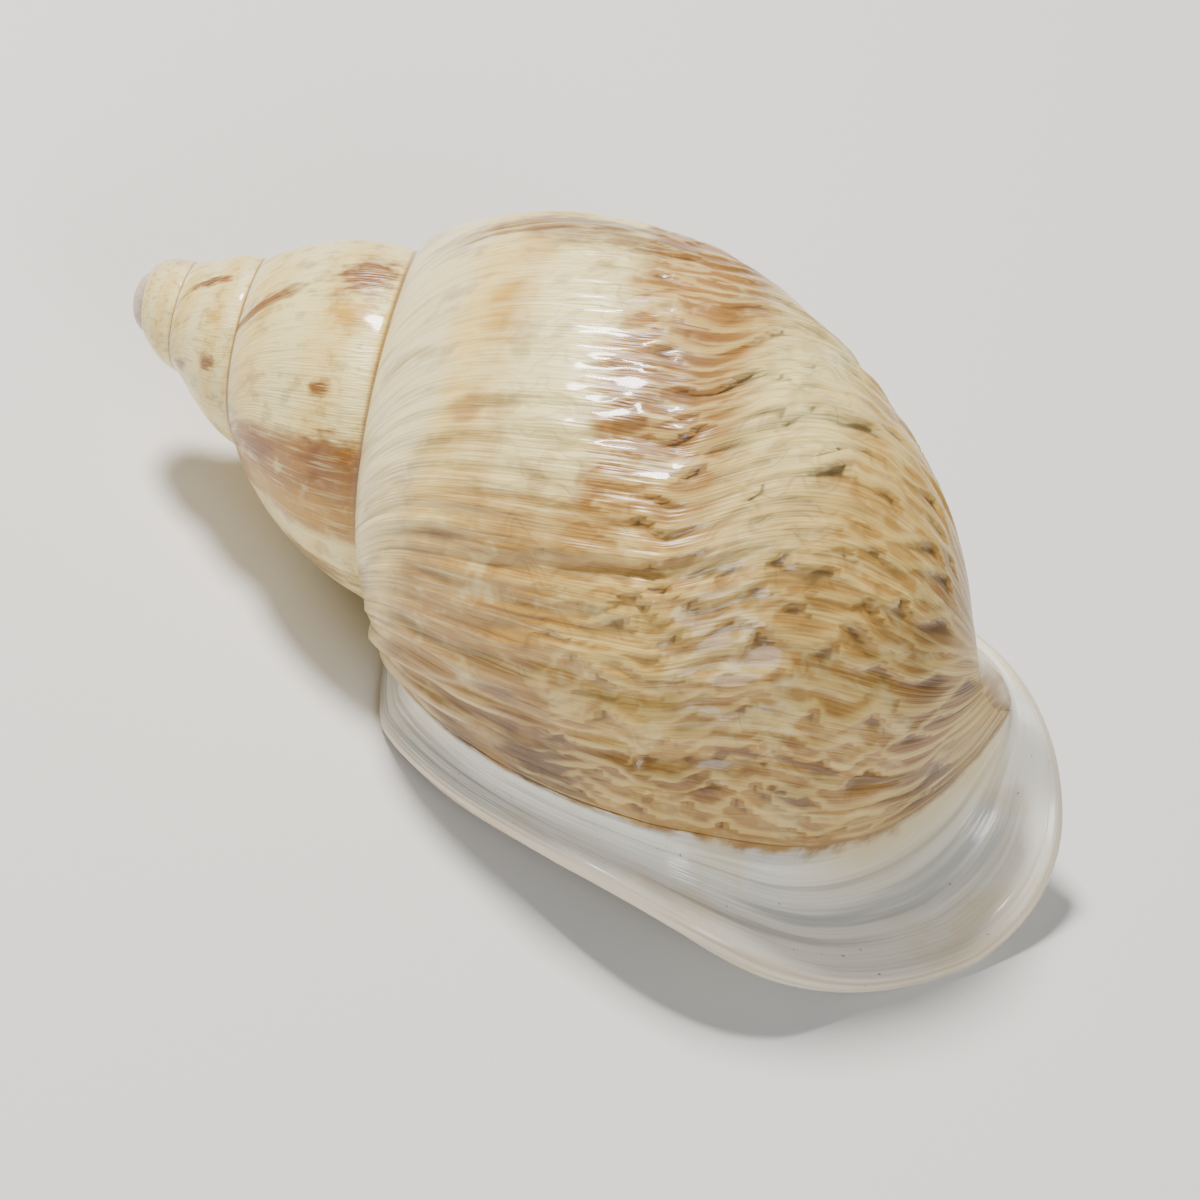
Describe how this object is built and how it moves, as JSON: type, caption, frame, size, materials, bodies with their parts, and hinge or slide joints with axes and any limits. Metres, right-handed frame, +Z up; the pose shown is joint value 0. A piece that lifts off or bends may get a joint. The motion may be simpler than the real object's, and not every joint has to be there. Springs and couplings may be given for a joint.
{
  "type": "land snail shell",
  "caption": "Right-handed tropical land snail shell with a tapering spire, a swollen ropy last whorl and a broad flared lip round a hollow mouth.",
  "frame": {"origin": "on the plane the shell lies on, below the middle of its outline", "axes": "+Z up from the plane it rests on, apex towards -X, mouth turned down and towards +Y"},
  "size_m": [0.0808, 0.0448, 0.0378],
  "materials": {
    "shell": "glossy tan and cream shell with a white lip"
  },
  "bodies": {
    "root": {"shell": "shell"}
  },
  "joints": []
}
